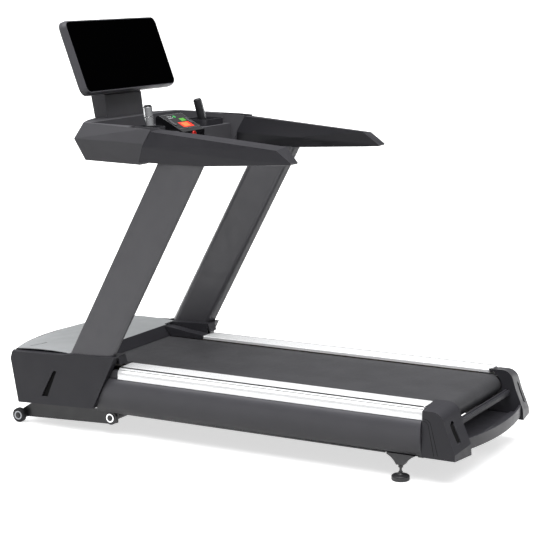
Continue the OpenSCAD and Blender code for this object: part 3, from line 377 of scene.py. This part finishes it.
def washer(name, outer, inner, place, low, high, *finish, **more):
    """A flat ring between two outlines with the same number of points."""
    build = bmesh.new()
    loops = [[build.verts.new(place(u, v, w)) for u, v in ring] for ring, w in
             ((outer, low), (inner, low), (inner, high), (outer, high))]
    for a, b in zip(loops, loops[1:] + loops[:1]):
        for i in range(len(a)):
            j = (i + 1) % len(a)
            build.faces.new((a[i], a[j], b[j], b[i]))
    bmesh.ops.recalc_face_normals(build, faces=build.faces)
    return keep(mesh_object(name, build), *finish, **more)


# Places on the side faces, as (y, z)
VENT_BACK = [(1744, 277), (1764, 277), (1831, 151), (1795, 151)]
PIVOT_AT = (1500, 80)
PIVOT_CAP_R = 12.5
WHEEL_AT = (1994, 33)
HUB_RING_R = (19.5, 14.5)


def side_details():
    """The vent slots' backs, dark sheets of painted shade for their dark insides, the pivots' caps and the
    wheels' hub rings.
    """
    for name, sign in SIDES:
        prism("vent_back_" + name, VENT_BACK, side_place(sign, outer_face("side_cover_" + name, sign)),
              6.5, 8.4, SHADOW_GAP)
        prism("pivot_cap_" + name, circle_outline(PIVOT_AT, PIVOT_CAP_R),
              side_place(sign, outer_face("lift_pivot_pins", sign)), -0.8, 0.5,
              MATERIALS["motor_black"], bevel=0.4)
        wheel = "front_wheel_" + name
        washer("hub_ring_" + name, *[circle_outline(WHEEL_AT, r) for r in HUB_RING_R],
               side_place(sign, outer_face(wheel, sign)), -0.3, 3.0, MATERIALS["cast_grey"], body=wheel)


# The point a rear cap turns and tips round, and how far
CAP_X = 302
CAP_Z = 326
CAP_FALL = math.radians(8.5)
CAP_TURN = math.radians(8)
# The slot's bed as (z, y) down the rear face, and its two sides, in the cap's own frame
CAP_SLOT_BED = ((264, -115.6), (240, -122.5), (195, -141.5), (190, -143.5))
CAP_SLOT_X = (364, 386)
# The two seams on the outer side as (y, z)
CAP_SEAMS = (((-6, 276), (-24, 272), (-36, 262), (-66, 146), (-70, 130)),
             ((-6, 266), (-18, 263), (-27, 254), (-50, 146), (-54, 124)))


def turned(a, b, angle):
    """Two coordinates turned by an angle, from the first towards the second."""
    c, s = math.cos(angle), math.sin(angle)
    return a * c - b * s, a * s + b * c


def on_cap(sign, x, y, z):
    """A point of a rear cap's own turned and tipped frame."""
    z, x = turned(z - CAP_Z, x - CAP_X, CAP_FALL)
    x, y = turned(x, y, CAP_TURN)
    return at(sign * (x + CAP_X), y, z + CAP_Z)


def cap_details():
    """The long slot's bed on each rear cap's rear face, darkened as painted shade, and the seams on its
    outer side.
    """
    for name, sign in SIDES:
        build = bmesh.new()
        rows = [[build.verts.new(on_cap(sign, x, y - 0.5, z)) for x in CAP_SLOT_X] for z, y in CAP_SLOT_BED]
        for a, b in zip(rows, rows[1:]):
            build.faces.new((a[0], a[1], b[1], b[0]))
        keep(mesh_object("cap_slot_" + name, build), SHADOW_GAP)
        x = outer_face("rear_cap_" + name, sign) - 0.2
        for i, seam in enumerate(CAP_SEAMS):
            tube(f"cap_seam_{name}_{i}", [at(sign * x, y, z) for y, z in seam], 0.8, SHADOW_GAP)


# Lines along a foot rail, as x, z and radius
RAIL_LINES = ((406.0, 319.0, 1.9), (407.0, 314.2, 0.9), (415.8, 308.2, 0.9))
RAIL_LINE_END = 2 * MM


def rail_lines():
    """Dark lines along each foot rail's crest and its two grooves, as painted shade."""
    for name, sign in SIDES:
        low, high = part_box("foot_rail_" + name)
        ends = (low.y + RAIL_LINE_END, high.y - RAIL_LINE_END)
        for i, (x, z, r) in enumerate(RAIL_LINES):
            points = [Vector((sign * x * MM, y, z * MM)) for y in ends]
            tube(f"rail_groove_{name}_{i}", points, r, SHADOW_GAP)


# ---- Light, floor and camera ------------------------------------------------------------

def area_light(name, place, aim, size, power):
    data = bpy.data.lights.new(name, "AREA")
    data.shape = "RECTANGLE"
    data.size, data.size_y = size
    data.energy = power
    lamp = bpy.data.objects.new(name, data)
    lamp.location = place
    lamp.rotation_euler = (Vector(aim) - Vector(place)).to_track_quat("-Z", "Y").to_euler()
    bpy.context.scene.collection.objects.link(lamp)


def sun_light(name, towards, strength, width):
    data = bpy.data.lights.new(name, "SUN")
    data.energy = strength
    data.angle = math.radians(width)
    lamp = bpy.data.objects.new(name, data)
    lamp.rotation_euler = (-Vector(towards)).to_track_quat("-Z", "Y").to_euler()
    bpy.context.scene.collection.objects.link(lamp)


# Half the floor's width, and how far it lies under the machine, in metres
FLOOR_HALF = 300
FLOOR_DROP = 0.0005
# The sky's brightness from below the horizon up to overhead
SKY_PLACES = (0.01, 0.26, 0.34, 0.60, 0.99)
SKY_LEVELS = (0.01, 0.03, 0.13, 0.34, 0.70)


def sky():
    """A sky that brightens upwards, so that side and top faces part."""
    world = bpy.data.worlds.new("studio")
    world.use_nodes = True
    background = world.node_tree.nodes["Background"]
    coords = add_node(world, "ShaderNodeTexCoord")
    split = add_node(world, "ShaderNodeSeparateXYZ")
    heights = add_node(world, "ShaderNodeMapRange")
    heights.inputs["From Min"].default_value = -0.4
    heights.inputs["From Max"].default_value = 1.0
    ramp = add_node(world, "ShaderNodeValToRGB")
    for place, level in zip(SKY_PLACES, SKY_LEVELS):
        stop = ramp.color_ramp.elements.new(place)
        stop.color = (level, level, level * 1.02, 1)
    ramp.color_ramp.elements.remove(ramp.color_ramp.elements[0])
    ramp.color_ramp.elements.remove(ramp.color_ramp.elements[-1])
    link(world, coords, "Generated", split, "Vector")
    link(world, split, "Z", heights, "Value")
    link(world, heights, "Result", ramp, "Fac")
    link(world, ramp, "Color", background, "Color")
    background.inputs["Strength"].default_value = 1.0
    bpy.context.scene.world = world


def floor_plane():
    """A pale, slightly self-lit floor that doesn't light the machine from below."""
    build = bmesh.new()
    bmesh.ops.create_grid(build, x_segments=2, y_segments=2, size=FLOOR_HALF)
    floor = mesh_object("floor", build)
    floor.location.z = -FLOOR_DROP
    floor.data.materials.append(new_material(
        "floor", (0.70, 0.70, 0.70), 0.8, Specular_IOR_Level=0.1,
        Emission_Color=(1, 1, 1, 1), Emission_Strength=0.66))
    bpy.context.scene.collection.objects.link(floor)
    floor.visible_diffuse = False


def studio():
    sky()
    sun_light("overhead", (-0.26, -0.16, 1.0), 4.8, 60)
    area_light("front_left", (-3.2, 3.6, 5.2), (0, 0.6, 0.7), (2.0, 2.4), 70)
    floor_plane()


CAMERA_AT = (-6.4987, -3.5305, 2.0413)
CAMERA_HEADING = 28.324
CAMERA_DROP = 9.962
CAMERA_LENS = 115.18


def camera():
    heading, drop = math.radians(CAMERA_HEADING), math.radians(CAMERA_DROP)
    level = math.cos(drop)
    ahead = Vector((math.cos(heading) * level, math.sin(heading) * level, -math.sin(drop)))
    data = bpy.data.cameras.new("camera")
    data.lens = CAMERA_LENS
    data.sensor_width = 36
    data.clip_end = 1000
    cam = bpy.data.objects.new("camera", data)
    cam.location = CAMERA_AT
    cam.rotation_euler = ahead.to_track_quat("-Z", "Y").to_euler()
    bpy.context.scene.collection.objects.link(cam)
    bpy.context.scene.camera = cam


def view_settings():
    view = bpy.context.scene.view_settings
    view.view_transform = "Standard"
    view.look = "None"
    view.exposure = 0.0
    view.gamma = 1.0


finish_nodes()
panel_print()
side_details()
rail_lines()
cap_details()
studio()
camera()
view_settings()
